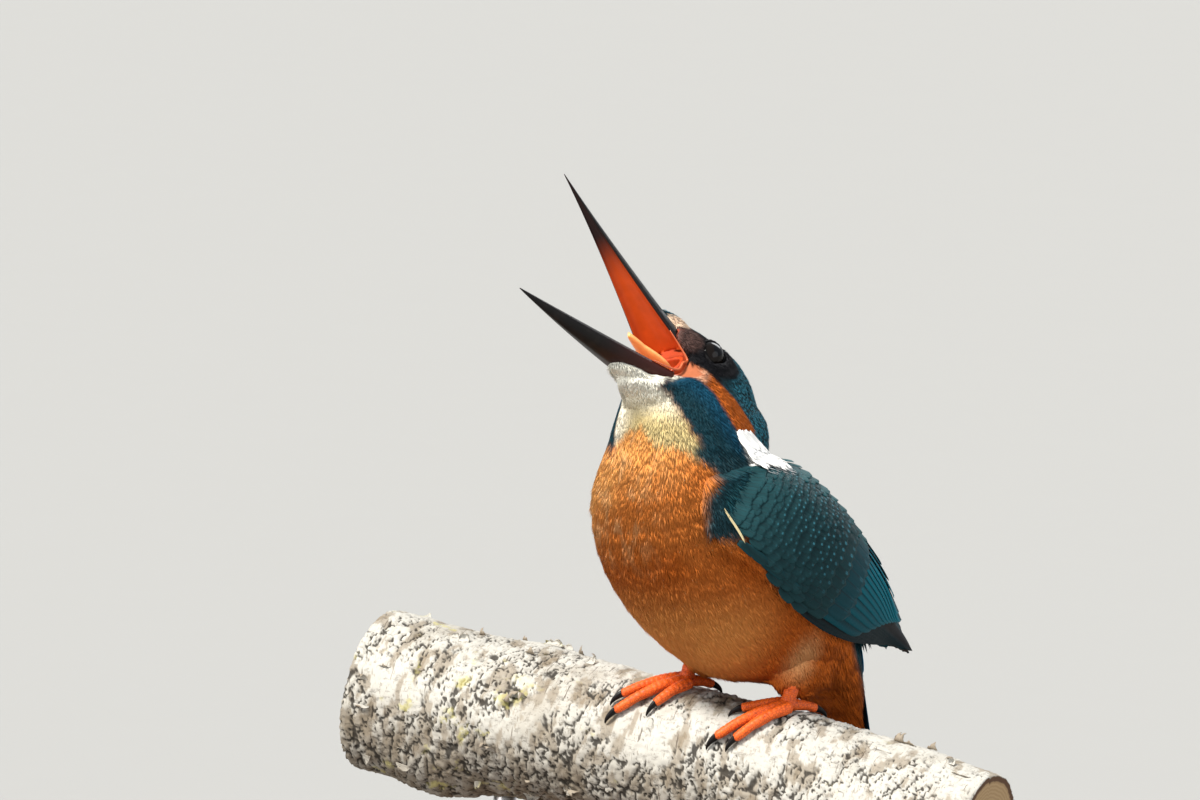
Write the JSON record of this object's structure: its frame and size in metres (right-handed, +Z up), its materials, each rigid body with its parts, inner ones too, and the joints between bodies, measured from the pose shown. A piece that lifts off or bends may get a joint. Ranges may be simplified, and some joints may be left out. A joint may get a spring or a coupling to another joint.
{
  "type": "common kingfisher model on a perch",
  "caption": "Life-size still model of a common kingfisher, head thrown back and bill agape, gripping a cut length of birch limb on a display stand.",
  "frame": {"origin": "middle of the base's underside", "axes": "+Z up, +X along the perch towards its lower end, -Y the side the bird faces over"},
  "size_m": [0.156, 0.114, 0.1958],
  "materials": {
    "feathers": "fine overlapping feathers: blue-green above with azure spots, rust-orange below, cream throat and neck patch",
    "horn": "black horn, satin",
    "mouth": "moist orange-red mouth lining",
    "eye": "dark brown glass eye, polished",
    "leg_skin": "coral-red scaled skin",
    "bark": "grey-white peeling birch bark, fresh wood at the cut ends",
    "base_wood": "dark stained hardwood, satin",
    "rod_steel": "brushed"
  },
  "bodies": {
    "root": {"head": "feathers", "neck": "feathers", "trunk": "feathers", "thigh_left": "feathers", "thigh_right": "feathers", "wing_left": "feathers", "wing_right": "feathers", "tail": "feathers", "bill_upper": "horn", "bill_lower": "horn", "tongue": "mouth", "eye_left": "eye", "eye_right": "eye", "foot_left": "leg_skin", "foot_right": "leg_skin", "claw_left_middle": "horn", "claw_left_outer": "horn", "claw_left_inner": "horn", "claw_left_hind": "horn", "claw_right_middle": "horn", "claw_right_outer": "horn", "claw_right_inner": "horn", "claw_right_hind": "horn", "perch": "bark", "stand_base": "base_wood", "stand_rod_1": "rod_steel", "stand_rod_2": "rod_steel"}
  },
  "joints": []
}
